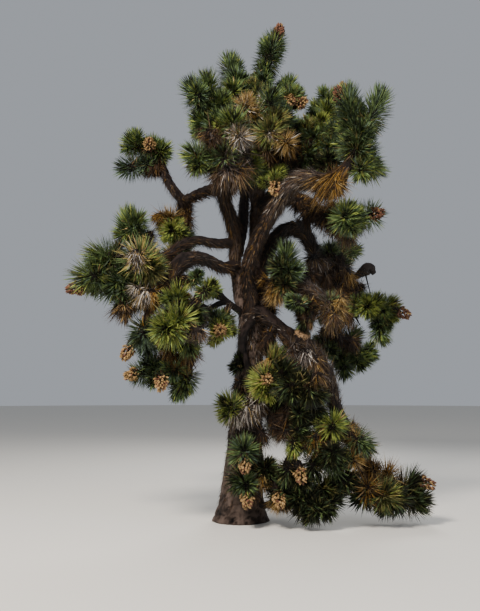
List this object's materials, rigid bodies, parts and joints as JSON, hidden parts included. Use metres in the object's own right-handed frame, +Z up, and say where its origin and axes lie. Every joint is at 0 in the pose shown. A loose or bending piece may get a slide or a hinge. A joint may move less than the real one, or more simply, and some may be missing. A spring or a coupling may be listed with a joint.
{
  "type": "joshua tree",
  "caption": "Old branching desert tree: a short thick trunk, forking, arching and drooping boughs, and heads of stiff bayonet leaves with dry fruit clusters and skirts of dead leaves.",
  "frame": {"origin": "middle of the flat cut under the trunk, at ground level", "axes": "+Z up; -Y towards the side the picture was taken from; +X to the right as seen from there"},
  "size_m": [4.3024, 3.2509, 6.4573],
  "materials": {
    "bark": "grey-brown furrowed corky bark, matt, with a thatch of dry leaves on the younger limbs",
    "foliage": "stiff narrow leaves, blue-green to yellow-green with straw bases and brown tips, slightly waxy",
    "dead_leaves": "dry leaves, golden straw to weathered grey, matt",
    "fruit": "dry papery fruit capsules, tan to red-brown, matt"
  },
  "bodies": {
    "root": {"trunk": "bark", "front_bough": "bark", "corner_bough": "bark", "prop_bough": "bark", "apron_bough": "bark", "prop_foot": "bark", "crown_bough": "bark", "centre_bough": "bark", "left_crown_bough": "bark", "left_upper_bough": "bark", "left_drop_bough": "bark", "left_middle_bough": "bark", "left_lower_bough": "bark", "left_hanging_bough": "bark", "inner_bough": "bark", "arch_bough": "bark", "droop_bough": "bark", "slant_bough": "bark", "right_tip_bough": "bark", "shade_bough": "bark", "right_crown_bough": "bark", "dead_stub": "bark", "back_bough": "bark", "front_trunk_heads": "foliage", "left_trunk_heads": "foliage", "foot_heads": "foliage", "apron_top_heads": "foliage", "apron_heads": "foliage", "prop_heads": "foliage", "ground_front_heads": "foliage", "ground_right_heads": "foliage", "column_head": "foliage", "slant_heads": "foliage", "right_tip_heads": "foliage", "right_low_heads": "foliage", "right_middle_heads": "foliage", "right_face_heads": "foliage", "corner_heads": "foliage", "right_crown_heads": "foliage", "right_inner_heads": "foliage", "spire_head": "foliage", "top_right_heads": "foliage", "top_left_heads": "foliage", "crown_centre_heads": "foliage", "crown_left_heads": "foliage", "crown_face_heads": "foliage", "inner_heads": "foliage", "left_top_heads": "foliage", "left_inner_heads": "foliage", "far_left_upright_head": "foliage", "far_left_heads": "foliage", "left_pale_heads": "foliage", "left_bright_heads": "foliage", "left_bottom_heads": "foliage", "trunk_side_heads": "foliage", "back_left_heads": "foliage", "back_right_heads": "foliage", "back_low_heads": "foliage", "left_back_heads": "foliage", "right_back_heads": "foliage"}
  },
  "joints": []
}
